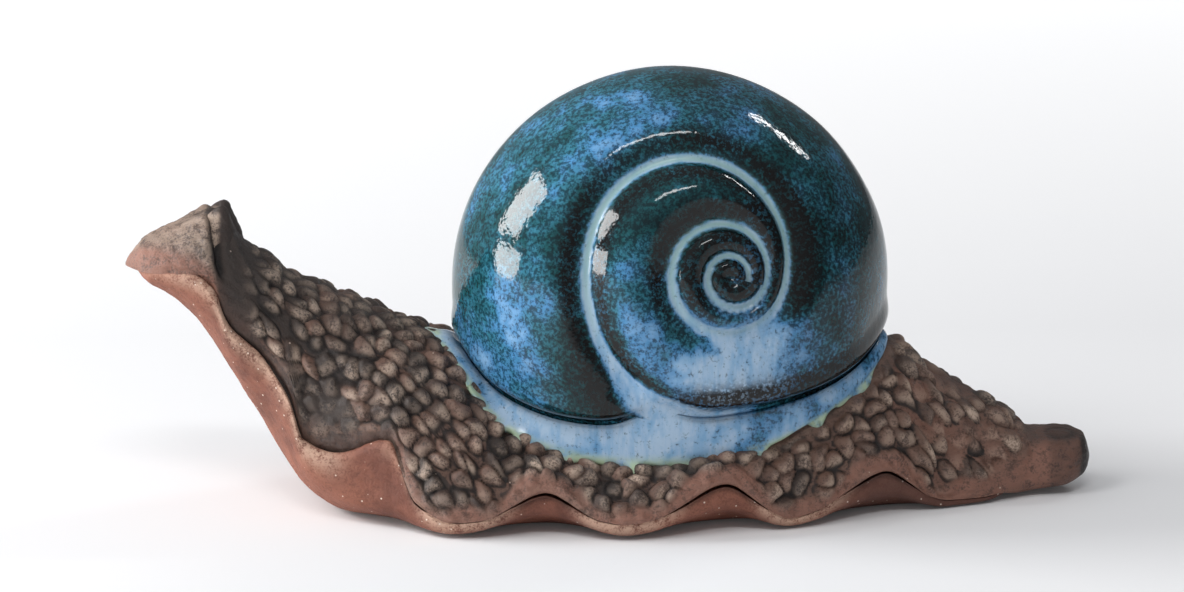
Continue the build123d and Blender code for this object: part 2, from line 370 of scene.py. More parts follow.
def washed_clay_material():
    """Clay under an oxide wash: dark in the hollows with painted shade, worn pale on the tops with
    painted highlights, red where it was wiped.
    """
    material, tree, shader = new_material("washed_clay")
    clay = use_group(tree, fired_clay, Grog_Share=0.14)
    grain, wear = clay["Grain"], painted(tree, "wear")
    worn = calculate(tree, "MULTIPLY", wear, remap(tree, grain, 0.38, 0.56, 0.1, 1.0))
    patchy = remap(tree, clay["Blotch"], 0.25, 0.55, 0.4, 1.0)
    red = calculate(tree, "MULTIPLY", painted(tree, "wiped"), patchy)
    unworn = remap(tree, wear, 0.0, 1.0, 1.0, 0.35)
    grime = calculate(tree, "MULTIPLY", remap(tree, grain, 0.52, 0.38, 0.0, 0.7), unworn)
    colour = coated(
        tree, srgb(58, 48, 43),
        (remap(tree, painted(tree, "tone"), 0.1, 1.0), srgb(114, 86, 73)),
        # pale coat: worn tops, hem and face, with painted highlights on the tops and the hem
        (worn, srgb(200, 177, 158)),
        (red, srgb(144, 102, 86)),
        # low stored height: dark wash in the hollows, and painted shade in the crevices and beside the
        # slab's lip
        (remap(tree, painted(tree, "height"), 0.48, 0.0, 0.0, 0.95), srgb(18, 13, 12)),
        (grime, srgb(44, 33, 29)),
        (clay["Grog"], srgb(200, 180, 164)),
    )
    roughness = remap(tree, grain, 0.35, 0.65, 0.36, 0.62)
    dress(tree, shader, colour, roughness, specular=0.55, height=grain, depth=0.55, strength=0.9)
    return material


smooth_clay = smooth_clay_material()
washed_clay = washed_clay_material()
print("clay materials:", smooth_clay.name, washed_clay.name)

# %% [markdown]
# ## Glaze finishes
# The shell's glaze is dark and speckled where it is thin, on every rounded shoulder, and turns blue
# and then milky where it pooled in the groove. Where it runs out over the bare clay it ends in a thin
# yellow-green line. The pale celadon line along the groove's upper part is glaze colour, lightest down
# its middle as a painted highlight. Thickness is what decides the colour, so the pieces store how thick
# the glaze lies, and one colour scale runs from thin to thick. On the fringe's part towards the head the
# stored thickness is raised as painted light, paler where the shell's shade falls.

# %% Glaze materials
GLAZE_SCALE = (
    (0.0, srgb(12, 38, 42)),
    (0.2, srgb(24, 78, 84)),
    (0.40, srgb(52, 116, 138)),
    (0.58, srgb(76, 136, 184)),
    (0.78, srgb(124, 168, 206)),
    (1.0, srgb(168, 194, 218)),
)
GLAZE_SPECULAR = 0.36


def glaze_colour(tree, glaze, thick, thin):
    """Dark specks to teal to blue to milky blue as the glaze gets thicker, brown-black where thin."""
    amount = calculate(tree, "ADD", thick, remap(tree, glaze["Cloud"], 0.32, 0.72, 0.02, 0.40))
    amount = calculate(tree, "ADD", amount, remap(tree, glaze["Drift"], 0.3, 0.7, 0.0, 0.16))
    running = remap(tree, glaze["Streak"], 0.6, 0.34)
    streaked = calculate(tree, "MULTIPLY", remap(tree, thick, 0.25, 0.6), running)
    amount = calculate(tree, "SUBTRACT", amount, calculate(tree, "MULTIPLY", streaked, 0.18))
    scale = add_node(tree, "ShaderNodeValToRGB", Fac=amount)
    ramp = scale.color_ramp
    while len(ramp.elements) < len(GLAZE_SCALE):
        ramp.elements.new(0.5)
    for element, (position, colour) in zip(ramp.elements, GLAZE_SCALE):
        element.position, element.color = position, colour
    clear = remap(tree, amount, 0.4, 0.95, 0.0, 0.16)
    specks = remap(tree, calculate(tree, "ADD", glaze["Speck"], clear), 0.60, 0.42, 0.0, 0.75)
    return coated(
        tree, scale.outputs["Color"],
        (specks, srgb(8, 20, 26)),
        (thin, srgb(13, 12, 13)),
    )


def shell_glaze_material():
    """The shell's glass: thick in the groove and the pool, thin over the shoulders."""
    material, tree, shader = new_material("shell_glaze")
    glaze = use_group(tree, broken_glaze)
    bare = painted(tree, "thin")
    broken = remap(tree, glaze["Speck"], 0.70, 0.48)
    solid = remap(tree, bare, 0.75, 1.0, 0.0, 0.7)
    thin = calculate(tree, "MULTIPLY", bare, calculate(tree, "MAXIMUM", broken, solid))
    colour = glaze_colour(tree, glaze, painted(tree, "thick"), thin)
    # pale celadon glaze down the groove, lightest in its middle as a painted highlight
    colour = coated(tree, colour, (painted(tree, "celadon"), srgb(148, 182, 176)))
    roughness = remap(tree, glaze["Speck"], 0.3, 0.7, 0.05, 0.10)
    dress(tree, shader, colour, roughness, GLAZE_SPECULAR, glaze["Drift"], depth=0.35, strength=0.32)
    return material


def fringe_glaze_material():
    """The pooled glaze around the shell: milky, with a yellow-green line at its edge."""
    material, tree, shader = new_material("fringe_glaze")
    glaze = use_group(tree, broken_glaze)
    colour = glaze_colour(tree, glaze, painted(tree, "thick"), painted(tree, "thin"))
    drifting = remap(tree, glaze["Drift"], 0.25, 0.6)
    ragged = calculate(tree, "MULTIPLY", painted(tree, "celadon"), drifting)
    colour = coated(tree, colour, (ragged, srgb(176, 196, 164)))
    roughness = remap(tree, glaze["Speck"], 0.3, 0.7, 0.07, 0.14)
    dress(tree, shader, colour, roughness, GLAZE_SPECULAR, glaze["Drift"], depth=0.4, strength=0.3)
    return material


shell_glaze = shell_glaze_material()
fringe_glaze = fringe_glaze_material()
print("glaze materials:", shell_glaze.name, fringe_glaze.name)

# %% [markdown]
# ## The body's form
# The body is a row of upright ovals from snout to tail, the same that the CAD model is lofted
# through. A second row of stations follows the edge where the stamped skin ends over the smooth slab:
# it comes down from the snout, turns along the foot and then waves up over arches and down to lobes.
# A curve through such stations that never overshoots them keeps each arch as high as it was made.

# %% Stations of the body, the skin's edge and the underside
# place, half width, underside, top
BODY_OVALS = (
    (-100, 3.5, 48.6, 53.0), (-96, 8.5, 47.0, 56.0), (-90, 11.5, 43.8, 59.0), (-83, 13.0, 35.8, 61.0),
    (-75, 14.0, 22.0, 54.4), (-66, 17.5, 6.8, 47.6), (-56, 22.0, -2.0, 43.2), (-45, 26.5, -5.0, 38.3),
    (-34, 29.0, -9.0, 33.5), (-22, 30.0, -11.0, 23.5), (-4, 31.0, -6.0, 18.5), (20, 29.0, -9.0, 22.5),
    (40, 24.0, -14.0, 31.5), (57, 17.5, -12.0, 33.0), (68, 13.5, -6.0, 25.5), (80, 10.0, -2.5, 19.0),
    (88, 7.5, 0.4, 13.4), (94, 7.2, 0.8, 13.8), (98.5, 5.2, 2.8, 12.4), (100, 2.4, 5.8, 9.6),
)
# place, distance from the middle, height
SKIN_EDGE = (
    (-100, 2.5, 50.2), (-94.4, 9.0, 50.6), (-86, 12.0, 50.0), (-82, 13.0, 47.3), (-78.6, 13.5, 39.5),
    (-71.9, 14.5, 33.4), (-66.6, 17.0, 25.6), (-63.9, 18.0, 16.8), (-57, 20.5, 14.3),
    (-46.4, 25.0, 17.9), (-41.1, 29.5, 7.9), (-34, 32.0, 3.9), (-28, 32.5, 4.4), (-15, 32.2, 10.6),
    (-4.1, 34.5, 4.7), (0.9, 35.0, 4.0), (5.9, 34.6, 4.6), (21.2, 31.5, 11.8), (31.5, 29.0, 4.2),
    (34.7, 28.0, 2.8), (39.9, 26.5, 3.8), (54.7, 20.5, 10.9), (65, 16.0, 3.4), (68.9, 14.4, 2.2),
    (76.4, 11.8, 2.0), (81.8, 9.4, 3.0), (87.2, 7.4, 4.4), (94, 6.9, 5.2), (100, 2.6, 7.2),
)
# place, height of the slab's lower edge over the table, height of the underside's middle
UNDERSIDE = (
    (-100, 48.6, 48.4), (-96, 47.0, 47.0), (-90, 44.4, 43.8), (-83, 37.0, 35.8), (-75, 24.5, 22.0),
    (-66, 10.0, 7.0), (-61, 5.2, 3.0), (-55, 2.8, 0.6), (-44, 0.9, 0.0), (-34, 0.0, 0.0),
    (-15, 3.4, 0.0), (1, 0.0, 0.0), (21, 3.4, 0.0), (35, 0.0, 0.0), (55, 3.2, 0.0), (68, 0.0, 0.0),
    (76, 0.3, 0.0), (82, 1.3, 1.0), (88, 3.4, 3.2), (94, 4.4, 4.2), (100, 6.0, 6.0),
)


def curve_through(stations, column):
    """A smooth curve through one column of the stations, which never overshoots between them."""
    places = np.array([station[0] for station in stations], float)
    values = np.array([station[column] for station in stations], float)
    steps = np.diff(places)
    rises = np.diff(values) / steps
    slopes = np.zeros(len(values))
    slopes[0], slopes[-1] = rises[0], rises[-1]
    turns = rises[:-1] * rises[1:] <= 0
    before, after = np.where(turns, 1.0, rises[:-1]), np.where(turns, 1.0, rises[1:])
    weight_left, weight_right = 2 * steps[1:] + steps[:-1], steps[1:] + 2 * steps[:-1]
    mean = (weight_left + weight_right) / (weight_left / before + weight_right / after)
    slopes[1:-1] = np.where(turns, 0.0, mean)

    def curve(x):
        span = np.clip(np.searchsorted(places, x) - 1, 0, len(steps) - 1)
        t = np.clip((x - places[span]) / steps[span], 0, 1)
        return (
            (1 + 2 * t) * (1 - t) ** 2 * values[span]
            + t * (1 - t) ** 2 * steps[span] * slopes[span]
            + t * t * (3 - 2 * t) * values[span + 1]
            + t * t * (t - 1) * steps[span] * slopes[span + 1]
        )

    return curve


half_width, low, high = (curve_through(BODY_OVALS, column) for column in (1, 2, 3))
edge_y, edge_z = (curve_through(SKIN_EDGE, column) for column in (1, 2))
lift_z, under_z = (curve_through(UNDERSIDE, column) for column in (1, 2))
print("body is", BODY_OVALS[-1][0] - BODY_OVALS[0][0], "mm long")


# %% Soft steps, bumps and directions
def soft_step(value, start, end):
    """0 before start, 1 after end, and a smooth rise between."""
    t = np.clip((value - start) / (end - start), 0, 1)
    return t * t * (3 - 2 * t)


def between(value, start, full, fading, end):
    """0 before start, 1 from full to fading, 0 again after end, and smooth in between."""
    return soft_step(value, start, full) * soft_step(value, end, fading)


def bell(value, centre, width):
    """A smooth bump that is 1 at centre and falls away over width."""
    return np.exp(-(((value - centre) / width) ** 2))


def unit_rows(vectors):
    """Each row of vectors brought to length 1."""
    return vectors / np.linalg.norm(vectors, axis=1)[:, None]


print("a quarter of the way up a soft step is", soft_step(0.25, 0, 1))

# %% [markdown]
# ## A tube to press into shape
# Every clay piece starts as one closed tube along the snail. A cone operator makes it and a
# subdivision gives it rings; its vertices are then pressed onto the body's sections, as a potter
# presses a roll of clay. The skin and the slab are each formed in one go and cut into their pieces
# afterwards, so the pebbles run on across a cut as they do across a seam that was smoothed over.

# %% Tube helpers
def points_of(shape):
    """The places of a shape's vertices."""
    return np.array([vertex.co for vertex in shape.verts])


def clay_tube(front_x, back_x, section, ring_step, points_around):
    """A closed tube pressed onto the sections; section(x) gives knots from top to bottom, y and z.

    Gives the bmesh, the place of each vertex in millimetres, its place along the snail, and its place
    round the section, where 0 is the top, 1 the bottom and the sign the side.
    """
    rings = int(round((back_x - front_x) / ring_step))
    tube = bmesh.new()
    bmesh.ops.create_cone(
        tube, cap_ends=True, segments=points_around, radius1=1, radius2=1, depth=1,
    )
    lengthwise = [e for e in tube.edges if abs(e.verts[0].co.z - e.verts[1].co.z) > 0.5]
    bmesh.ops.subdivide_edges(tube, edges=lengthwise, cuts=rings - 1, use_grid_fill=True)
    places = points_of(tube)
    ring = np.rint((places[:, 2] + 0.5) * rings).astype(int)
    around = np.arctan2(places[:, 1], places[:, 0]) / math.pi
    x = front_x + (back_x - front_x) * ring / rings
    pressed = np.zeros_like(places)
    pressed[:, 0] = x
    for number in range(rings + 1):
        chosen = ring == number
        knots, y, z = section(front_x + (back_x - front_x) * number / rings)
        pressed[chosen, 1] = np.sign(around[chosen]) * np.interp(np.abs(around[chosen]), knots, y)
        pressed[chosen, 2] = np.interp(np.abs(around[chosen]), knots, z)
    return tube, pressed, x, around


def press(shape, places):
    """Move each vertex to its place, given in millimetres, and turn the faces outwards."""
    for vertex, place in zip(shape.verts, places * MM):
        vertex.co = place
    bmesh.ops.recalc_face_normals(shape, faces=shape.faces)
    shape.normal_update()


def outward(shape):
    """The vertex normals of a pressed shape."""
    return np.array([vertex.normal for vertex in shape.verts])


print("tube helpers are ready")


# %% Helpers that finish a piece
def store(shape, **values):
    """Keep values from 0 to 1 on the vertices under their names, for the material to read."""
    for name, shares in values.items():
        layer = shape.verts.layers.float.new(name)
        for vertex, share in zip(shape.verts, np.clip(shares, 0, 1)):
            vertex[layer] = share


def cut_length(shape, front_x, back_x):
    """A copy of the part of a tube between two places along the snail, with its ends closed."""
    length = shape.copy()
    for place, direction in ((front_x, -1), (back_x, 1)):
        geometry = length.verts[:] + length.edges[:] + length.faces[:]
        bmesh.ops.bisect_plane(
            length, geom=geometry, dist=1e-7, plane_co=(place * MM, 0, 0),
            plane_no=(direction, 0, 0), clear_outer=True,
        )
    ends = [edge for edge in length.edges if edge.is_boundary]
    bmesh.ops.holes_fill(length, edges=ends)
    for edge in ends:
        edge.smooth = False
    return length


def finish_piece(name, shape, material, node):
    """Make a shape the visible piece that stands for a CAD node, with its finish."""
    piece = new_object(name, shape)
    piece.data.shade_smooth()
    piece.data.materials.append(material)
    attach(piece, "root")
    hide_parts(node)
    print(name, "has", len(piece.data.polygons), "faces")


def cut_apart(tube, material, pieces):
    """Cut a tube into finished pieces, each given by name, CAD node, slot, front and back; the slot is
    not used.
    """
    for name, node, slot, front_x, back_x in pieces:
        finish_piece(name, cut_length(tube, front_x, back_x), material, node)
    tube.free()


print("piece helpers are ready")

# %% [markdown]
# ## The stamped skin
# Neck, cradle and tail wear one skin of rounded pebbles, pressed side by side with a small tool, and
# the head is the same roll of clay left smooth. A voronoi bump in the material would look flat at the
# outline, so the pebbles are real: each has a seed on the unrolled skin, every vertex looks up its
# two nearest seeds, and the two distances give a domed top with a crevice around it.

# %% Where the skin meets the slab
FRILL_START = -43.0  # in front the slab's lip covers the skin's edge, behind the skin hangs over


def lip_share(x):
    """1 along the throat, where the slab's lip stands proud, and 0 along the frilled foot."""
    return soft_step(x, FRILL_START + 2, FRILL_START - 4) * (0.25 + 0.75 * soft_step(x, -95, -83))


def arch_share(x):
    """1 at the top of an arch of the frilled foot and 0 on its lobes and where the tail runs out."""
    return soft_step(edge_z(x), 4.5, 10) * between(x, FRILL_START - 4, FRILL_START + 2, 66, 74)


def hem(x):
    """Thickness of the skin's rolled edge, thin on a lobe and thick over an arch."""
    return 0.5 + 1.2 * arch_share(x)


def tip_share(x):
    """1 on the tail's tip, where the skin closes underneath, and 0 in front of it."""
    return soft_step(x, 78, 87)


print("hem over an arch is", round(float(hem(21.2)), 1), "mm thick")

# %% Sections of the skin
SKIN_SHARE = 0.86  # part of the points round a section that lies on the visible skin
HEM_POINTS = 8
SMALLEST_END = 0.02  # share of a section that stays at a rounded end, so that no face vanishes


def round_off(x, start, length):
    """Shrinks a section beyond start to round off an end: the snout's, or with -x the tail's."""
    return math.sqrt(max(SMALLEST_END ** 2, 1 - max(0.0, (start - x) / length) ** 2))


def skin_curve(x):
    """The visible skin at one place: y and z from the top of the back down to the skin's edge."""
    turn = np.linspace(0, math.pi / 2, 140)
    middle = (low(x) + high(x)) / 2
    y = half_width(x) * np.sin(turn)
    z = middle + (high(x) - low(x)) / 2 * np.cos(turn)
    flare = soft_step(turn, 0.62, math.pi / 2) ** 1.3
    y = y + (edge_y(x) - half_width(x)) * flare
    z = z + (edge_z(x) - middle) * flare
    return y, z


def arc_length(y, z):
    """Distance along a section from its first point."""
    return np.concatenate([[0], np.cumsum(np.hypot(np.diff(y), np.diff(z)))])


def skin_section(x):
    """The whole closed section of the skin: visible top, rolled hem and hidden underside."""
    y, z = skin_curve(x)
    knots = SKIN_SHARE * arc_length(y, z) / arc_length(y, z)[-1]
    roll = np.linspace(0, math.pi * 0.85, HEM_POINTS + 1)[1:]
    thick = hem(x) + 4.5 * tip_share(x)
    hem_y = y[-1] - thick / 2 * (1 - np.cos(roll)) + 0.25 * np.sin(roll)
    hem_z = z[-1] - thick / 2 * np.sin(roll) - thick * 0.1 * roll
    hidden_y, hidden_z = [y[-1] * 0.6, 0.0], [hem_z[-1] - 0.4, hem_z[-1] - 0.5]
    hidden = np.append(SKIN_SHARE + (1 - SKIN_SHARE) * np.arange(1, HEM_POINTS + 2) / 12, 1.0)
    size = round_off(x, -95.5, 4.6) * round_off(-x, -98.4, 1.7)
    y = np.concatenate([y, hem_y, hidden_y]) * size
    z = edge_z(x) + (np.concatenate([z, hem_z, hidden_z]) - edge_z(x)) * size
    return np.concatenate([knots, hidden]), y, z


print("skin beside the shell is", round(arc_length(*skin_curve(10.0))[-1], 1), "mm from top to hem")

# %% Seeds of the pebbles
PEBBLE_STEP = 4.1
PEBBLE_HEIGHT = 2.0
ROW_STEP, JITTER = 0.9 * PEBBLE_STEP, 0.4
DOME_POWER, CREVICE_HALF = 0.55, 0.75
TAIL_START = 62.0  # behind this the pebbles stand apart
TAIL_GAPS, GAP_LIFT = 0.4, 0.12  # share of the seeds there that stay almost flat
pebble_dice = np.random.default_rng(11)


def scatter_seeds():
    """Jittered rows of pebble seeds over the unrolled skin, from the neck to the tail."""
    seeds = []
    for row, x in enumerate(np.arange(-84, 92, ROW_STEP)):
        for s in np.arange(-64, 64, PEBBLE_STEP):
            shift = 0.5 * PEBBLE_STEP * (row % 2)
            jitter = pebble_dice.uniform(-JITTER, JITTER, 2) * PEBBLE_STEP
            seeds.append((x + jitter[0], s + shift + jitter[1]))
    return np.array(seeds)


seeds = scatter_seeds()
seed_tone = pebble_dice.uniform(0, 1, len(seeds))
seed_wear = pebble_dice.uniform(0, 1, len(seeds)) ** 1.3
seed_reach = pebble_dice.uniform(1.9, 3.2, len(seeds))
seed_lift = pebble_dice.uniform(0.5, 1.15, len(seeds))
left_out = pebble_dice.uniform(0, 1, len(seeds)) < TAIL_GAPS
seed_lift[(seeds[:, 0] > TAIL_START) & left_out] = GAP_LIFT
seed_tilt = pebble_dice.normal(0, 0.12, (len(seeds), 2))
seed_tree = KDTree(len(seeds))
for number, seed in enumerate(seeds):
    seed_tree.insert((seed[0], seed[1], 0), number)
seed_tree.balance()
print("pebble seeds:", len(seeds))


# %% Pebbles on the unrolled skin
def pebbles(x, s):
    """Pebbles at points of the unrolled skin.

    Gives their height, the share of a top that is worn pale and painted with a highlight, more on the
    side towards the tail and down the flank, the open ground between pebbles, and the number of the
    nearest seed.
    """
    height, rubbed, gap = np.zeros(len(x)), np.zeros(len(x)), np.zeros(len(x))
    chosen = np.zeros(len(x), int)
    wavering = x + 0.45 * np.sin(0.8 * s + 0.5 * x)
    rippled = s + 0.45 * np.sin(0.9 * x + 0.3 * s)
    downwards = np.sign(s)
    for i, (along, across, down) in enumerate(zip(wavering, rippled, downwards)):
        (near, number, first), (_, _, second) = seed_tree.find_n((along, across, 0), 2)
        back, below = along - near[0], down * (across - near[1])
        dome = max(0.0, 1 - (first / seed_reach[number]) ** 2) ** DOME_POWER
        crevice = math.tanh((second - first) / CREVICE_HALF)
        tilt = back * seed_tilt[number][0] + below * seed_tilt[number][1]
        height[i] = dome * (0.25 + 0.75 * crevice) * seed_lift[number] + tilt * dome
        # worn pale and painted as a highlight, more on the side towards the tail and down the flank
        rubbed[i] = dome * crevice * min(1.0, max(0.0, 0.45 + 0.4 * (back + below)))
        gap[i] = first - seed_reach[number] if seed_lift[number] > GAP_LIFT else 1.0
        chosen[i] = number
    return height, rubbed, soft_step(gap, 0.0, 0.8), chosen


print("a pebble is up to", round(PEBBLE_HEIGHT * seed_lift.max(), 1), "mm high")

# %% Hand marks and the shell's cradle
SHELL_CENTRE = np.array([11.8, 0.0, 45.2])
SHELL_AXES = np.array([45.0, 33.0, 45.0])
SHELL_FOOT_Z = 7.0
wave_dice = np.random.default_rng(5)
WAVES = [
    (wave_dice.normal(0, 0.16, 3), wave_dice.uniform(0, 2 * math.pi), wave_dice.uniform(0.5, 1))
    for _ in range(9)
]
CHIPS = [(wave_dice.normal(0, 2.1, 3), wave_dice.uniform(0, 2 * math.pi)) for _ in range(8)]


def hand_waver(places):
    """Slow unevenness left by hands, about 1 at most."""
    return sum(size * np.sin(places @ pull + start) for pull, start, size in WAVES) / 3.5


def chipped(places):
    """Fine unevenness of a wiped surface, about 1 at most."""
    return sum(np.sin(places @ pull + start) for pull, start in CHIPS) / 4


def into_cradle(places):
    """Lower the points that lie inside the shell onto its underside, as the pressed clay does."""
    offset = (places - SHELL_CENTRE) / SHELL_AXES
    inside = (np.sum(offset ** 2, axis=1) < 1) & (places[:, 2] > SHELL_FOOT_Z)
    rim = np.sqrt(np.clip(1 - offset[:, 0] ** 2 - offset[:, 1] ** 2, 0, 1))
    bottom = np.maximum(SHELL_CENTRE[2] - SHELL_AXES[2] * rim, SHELL_FOOT_Z) - 0.3
    lowered = places.copy()
    lowered[inside, 2] = np.minimum(places[inside, 2], bottom[inside])
    return lowered


print("the shell sits", SHELL_FOOT_Z, "mm over the table")

# %% Head, neck, cradle and tail in one skin
SKIN_END = 100.05
tube, places, x, around = clay_tube(
    -SKIN_END, SKIN_END, skin_section, ring_step=0.42, points_around=232,
)
press(tube, places)
ring_places, ring_number = np.unique(x, return_inverse=True)
ring_arcs = np.array([arc_length(*skin_curve(place))[-1] for place in ring_places])
share = np.abs(around) / SKIN_SHARE
s = np.sign(around) * share * ring_arcs[ring_number]
visible = (share <= 1.0).astype(float)
from_hem = np.clip((1 - share) * ring_arcs[ring_number], 0, None)
height, rubbed, ground, number = pebbles(x, s)
print("skin has", len(tube.verts), "points")

# %% Where the skin is stamped
bare_margin = 2.0 + 2.2 * lip_share(x) + arch_share(x) + 0.9 * np.sin(0.55 * x)
bare_margin = bare_margin + 3.0 * soft_step(x, 66, 80)
ridge = bell(s, 0, 7) * np.maximum(between(x, -76, -66, -42, -32), soft_step(x, 48, 56))
from_shell = np.linalg.norm((places - SHELL_CENTRE) / SHELL_AXES, axis=1)
stamped = soft_step(from_hem, bare_margin - 1.2, bare_margin + 1.6)
stamped = stamped * between(x, -76.5, -70, 83.5, 87.5) * visible
stamped = stamped * (1 - 0.75 * bell(x, -58, 6) * bell(from_hem, 8, 5))
stamped = stamped * (1 - 0.4 * ridge) * soft_step(from_shell, 1.04, 1.12)
print("stamped share of the skin:", round(float(stamped.mean()), 2))

# %% Marks of fingers and tools on the head and the tail
face_edge = -83.6 + 0.14 * np.abs(s)
on_side = between(np.abs(s), 2.5, 5, 14, 18)
face_groove = bell(x, face_edge + 1.4, 1.0) * on_side
face_rim = bell(x, face_edge - 0.8, 1.5) * on_side
pitted = 0.5 + 0.5 * np.sin(places[:, 2] * 2.3) * np.sin(places[:, 1] * 1.7 + x * 1.3)
brow = bell(np.abs(places[:, 1]), 4.6, 3.0) * between(x, -92, -82, -80, -76)
cheek = bell(x, -90, 4) * bell(np.abs(s), 8.5, 3.5)
nape_line = np.abs(s) - 4.4 - (x + 80.6) * 0.9
nape_ridge = bell(nape_line, 0, 1.1) * between(x, -81.5, -79.5, -76, -72)
tail_ridge = bell(s, 0, 2.5) * between(x, 58, 66, 82, 87)
tuck = lip_share(x) * bell(from_hem, 0, 1.8) * soft_step(x, -88, -82)
on_tip = soft_step(x, 86, 89) * soft_step(share, 0.8, 0.5)
nail_line = bell(np.hypot((x - 93.2) / 3.6, (places[:, 1] + 2.6) / 2.2), 0.85, 0.22) * on_tip
thumb_flat = bell(np.hypot((x - 94) / 6, (places[:, 1] + 1.5) / 5.5), 0, 0.8) * on_tip
frilled = between(x, -50, -42, 70, 82)
rough_hem = (1 - stamped) * soft_step(from_hem, 8, 3) * frilled

MARKS = (  # mark, millimetres that it stands out
    (face_groove, -1.6), (cheek, -0.5), (brow, 1.3), (nape_ridge, 0.8), (tail_ridge, 0.7),
    (tuck, -0.9), (thumb_flat, -0.7), (nail_line, -0.2),
)
raised = 0.3 * hand_waver(places) + (0.14 + 0.2 * rough_hem) * chipped(places)
raised = raised + stamped * PEBBLE_HEIGHT * (height - 0.3) + face_rim * (0.7 - 0.6 * pitted)
raised = raised + sum(depth * mark for mark, depth in MARKS)
raised = raised * visible * between(x, -99.8, -97, 98, 99.8)
places = into_cradle(places + outward(tube) * raised[:, None])
places[:, 2] = np.maximum(places[:, 2], 0.2)
press(tube, places)
print("deepest mark is", round(-raised.min(), 1), "mm, highest", round(raised.max(), 1), "mm")

# %% What the wash leaves on the skin, with painted shade and painted highlights
on_face = soft_step(x, face_edge + 0.6, face_edge - 0.6)
lower_face = soft_step(from_hem, 6, 1.5)
nape = (1 - on_face) * soft_step(x, -68, -76)
neck_patch = bell(x, -60, 7) * bell(from_hem, 9, 6)
tip_end = soft_step(x, 97.0, 98.6) * soft_step(share, 0.15, 0.35)
# dark wash in the pebbles' crevices and the face's groove, with painted shade there and on the skin
# tucked behind the slab's proud lip; the nape, the nail line and the tail's tip are darkened too
hollow = stamped * (1 - np.maximum(height, 0.55 * ground)) + 0.9 * face_groove + 0.8 * tuck
hollow = hollow + 0.35 * nape + 0.12 * nail_line + 0.4 * tip_end + 0.74 * soft_step(x, 86, 92)
tone = np.where(stamped > 0.3, seed_tone[number], 0.5 + 0.3 * hand_waver(places * 2))
tone = tone - 0.5 * np.maximum(nape, neck_patch) - 0.45 * ridge
tone = tone + 0.45 * soft_step(x, 10, 60) - 0.55 * soft_step(x, 82, 90)
# pale band along the hem, waxing and waning along the foot: wear and a painted highlight
worn_hem = bell(from_hem, 0.2, 1.3) * (0.35 + 0.65 * np.clip(np.sin(0.36 * x + 1.0), 0, 1)) * frilled
# pale tops of the pebbles: wear and a painted highlight
worn_top = stamped * (0.25 + 0.75 * seed_wear[number]) * np.clip(1.5 * rubbed, 0, 1)
worn_face = 0.45 * on_face * (1 - 0.8 * lower_face)
wiped = (1 - stamped) * soft_step(from_hem, 9, 3) * (1 - tuck) * (1 - 0.8 * neck_patch)
wiped = wiped * (1 - 0.8 * lip_share(x)) + 0.3 * soft_step(x, 83, 89)
wiped = wiped + 0.6 * stamped * ground * soft_step(x, 40, 66) + on_face * lower_face
# every pale mark on the skin: wear, with painted highlights on the pebbles' tops and the hem
worn = worn_top * (1 - 0.6 * neck_patch) + worn_hem + worn_face
store(tube, height=1 - hollow, tone=tone, wear=worn, wiped=wiped)
print("worn share of the skin:", round(float(np.clip(worn, 0, 1).mean()), 2))

# %% Cut the skin into its pieces
HEAD_BACK, NECK_BACK, TAIL_FRONT, TAIL_BACK = -81.0, -36.0, 60.0, 87.0
PAST_SNOUT, PAST_TAIL = -101.0, 101.0
cut_apart(tube, washed_clay, (
    ("smoothed_head", "head", "washed_clay", PAST_SNOUT, HEAD_BACK),
    ("stamped_neck", "neck", "pebbled_clay", HEAD_BACK, NECK_BACK),
    ("stamped_flanks", "cradle", "pebbled_clay", NECK_BACK, TAIL_FRONT),
    ("stamped_tail", "tail", "pebbled_clay", TAIL_FRONT, TAIL_BACK),
    ("pressed_tail_tip", "tail_tip", "washed_clay", TAIL_BACK, PAST_TAIL),
))

# %% [markdown]
# ## The smooth slab
# Under the skin lies the red slab: it runs from the lower lip down the throat and back along the
# whole foot. Along the throat its lip is turned up over the skin's edge and stands proud, with a worn
# crest that is also painted pale as a highlight. Along the foot it tucks in under the skin instead,
# which leaves a crease over each arch that is painted dark as shade, its face is rounded by thumbs,
# and its sole is flat. The edges of its lobes are painted pale as wear and highlight, and the slab
# is painted darker towards the tail as shade.

# %% Throat and foot
TOP_KNOTS = [0, 0.05, 0.09, 0.13, 0.16]  # places round the section of the slab's hidden top
FACE_KNOT = 0.19  # where the visible face starts
SLAB_FRONT, THROAT_BACK, SLAB_BACK = -98.2, -61.0, 87.4


